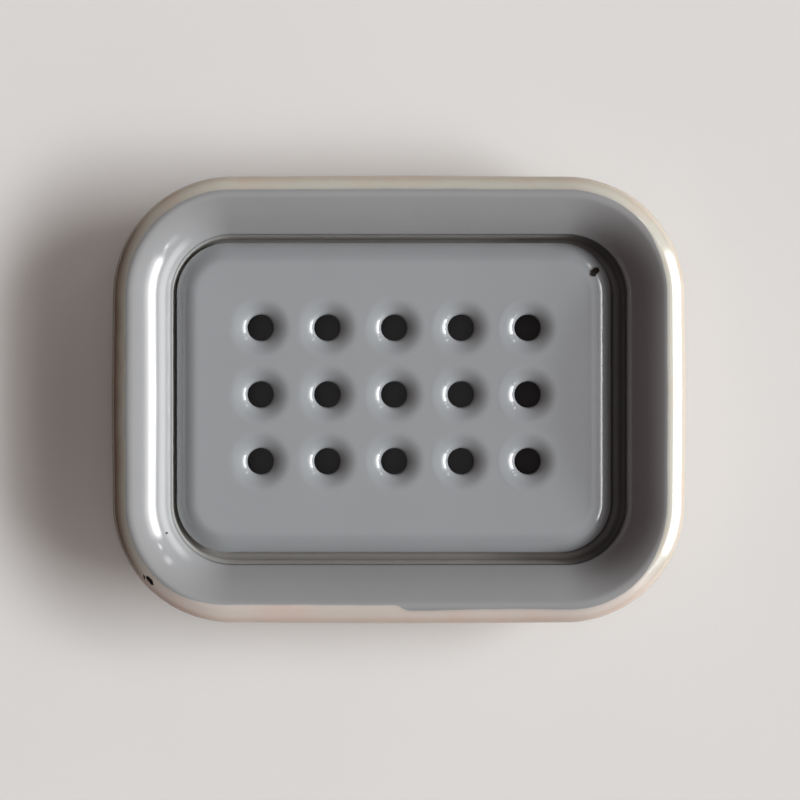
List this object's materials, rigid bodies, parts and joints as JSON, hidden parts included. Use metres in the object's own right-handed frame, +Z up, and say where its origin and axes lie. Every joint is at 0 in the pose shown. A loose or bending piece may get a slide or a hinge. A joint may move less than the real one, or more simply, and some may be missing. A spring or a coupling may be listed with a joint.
{
  "type": "soap dish",
  "caption": "Rectangular enamelled steel soap dish: a shallow tray with a broad rolled rim and a loose perforated drainer that holds the soap clear of the water.",
  "frame": {"origin": "middle of the tray's flat base, on the surface that the dish stands on", "axes": "+X along the dish's longer side, +Y across it, +Z up out of its open top"},
  "size_m": [0.14, 0.1092, 0.021],
  "materials": {
    "tray_enamel": "glossy vitreous enamel on steel, cool grey inside with a warm beige rolled rim, chipped to dark steel at one corner",
    "insert_enamel": "glossy cool grey vitreous enamel on steel, chipped to dark steel at one corner"
  },
  "bodies": {
    "root": {"dish_tray": "tray_enamel", "drainer_insert": "insert_enamel"}
  },
  "joints": []
}
